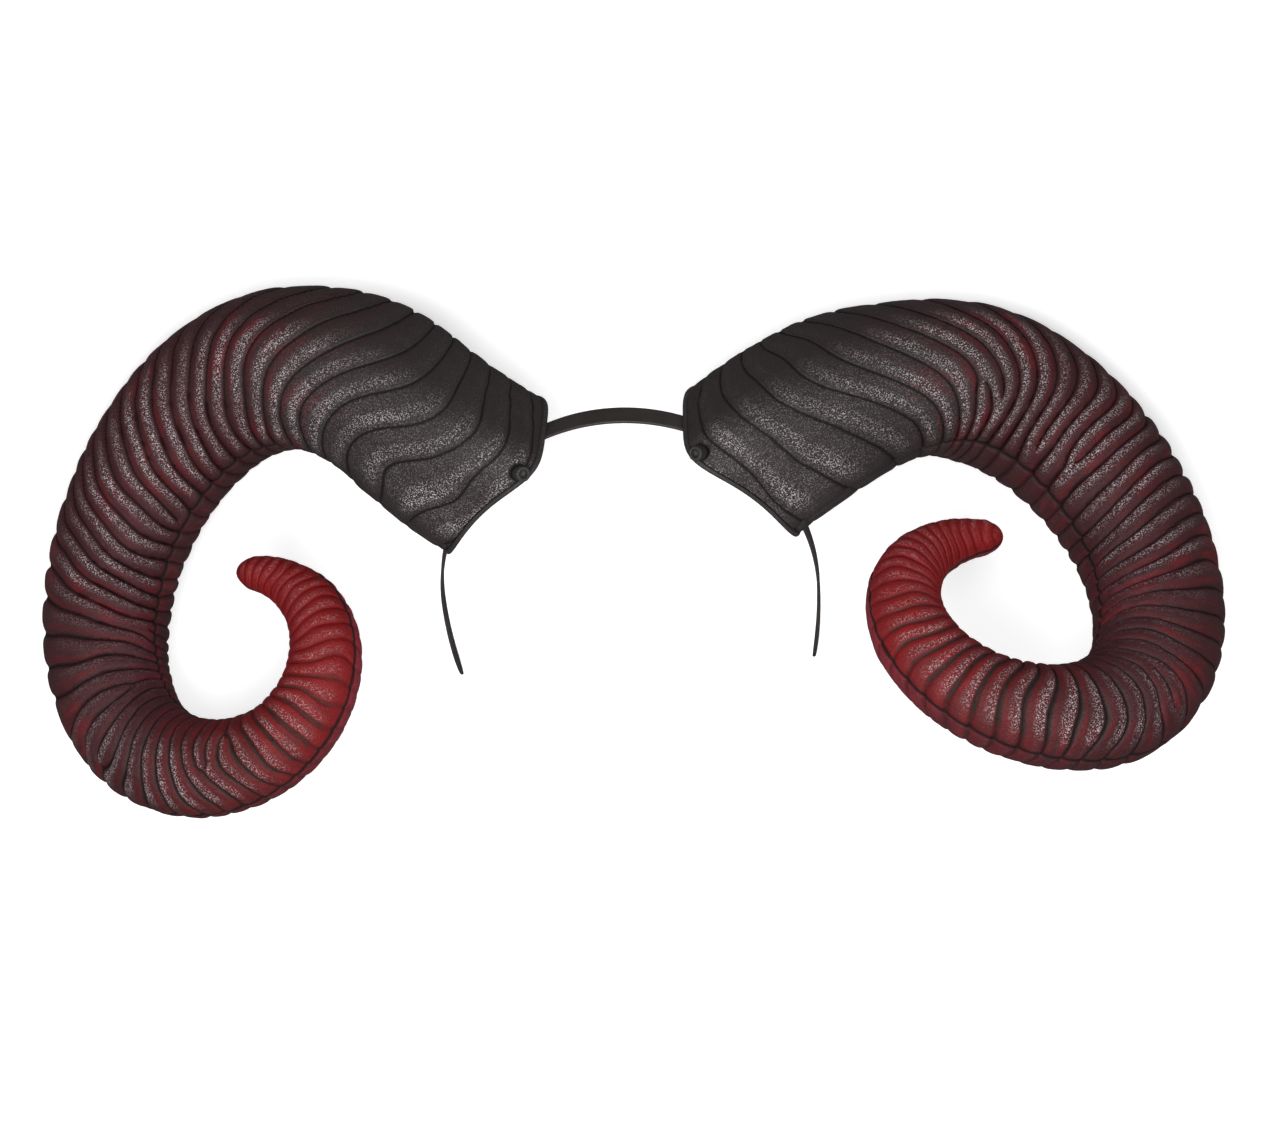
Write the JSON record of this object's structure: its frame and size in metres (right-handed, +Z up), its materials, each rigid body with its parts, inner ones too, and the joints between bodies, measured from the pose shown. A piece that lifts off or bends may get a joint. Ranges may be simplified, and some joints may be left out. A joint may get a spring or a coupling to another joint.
{
  "type": "ram horns headband",
  "caption": "Costume headband: a thin arched band that carries curled, ribbed foam ram horns, which coil down and round beside the head.",
  "frame": {"origin": "centre of the bounding box seen from above, on the surface that the headband lies on", "axes": "+X from the horn on the left of the picture to the one on the right, +Y towards the crest of the band, +Z up from the surface it lies on"},
  "size_m": [0.4268, 0.1872, 0.1495],
  "materials": {
    "band": "satin",
    "foam_plate": "matt foam",
    "horn_dark": "painted foam, satin: charcoal at the foot, maroon brown with silver-grey rib crests, deep red at the tip",
    "horn_red": "painted foam, satin: dark at the foot, dull red along the coil"
  },
  "bodies": {
    "root": {"headband": "band", "horn_front_left": "horn_dark", "horn_back_left": "horn_red", "base_plate_left": "foam_plate", "corner_stud_left": "foam_plate", "horn_front_right": "horn_dark", "horn_back_right": "horn_red", "base_plate_right": "foam_plate", "corner_stud_right": "foam_plate"}
  },
  "joints": []
}
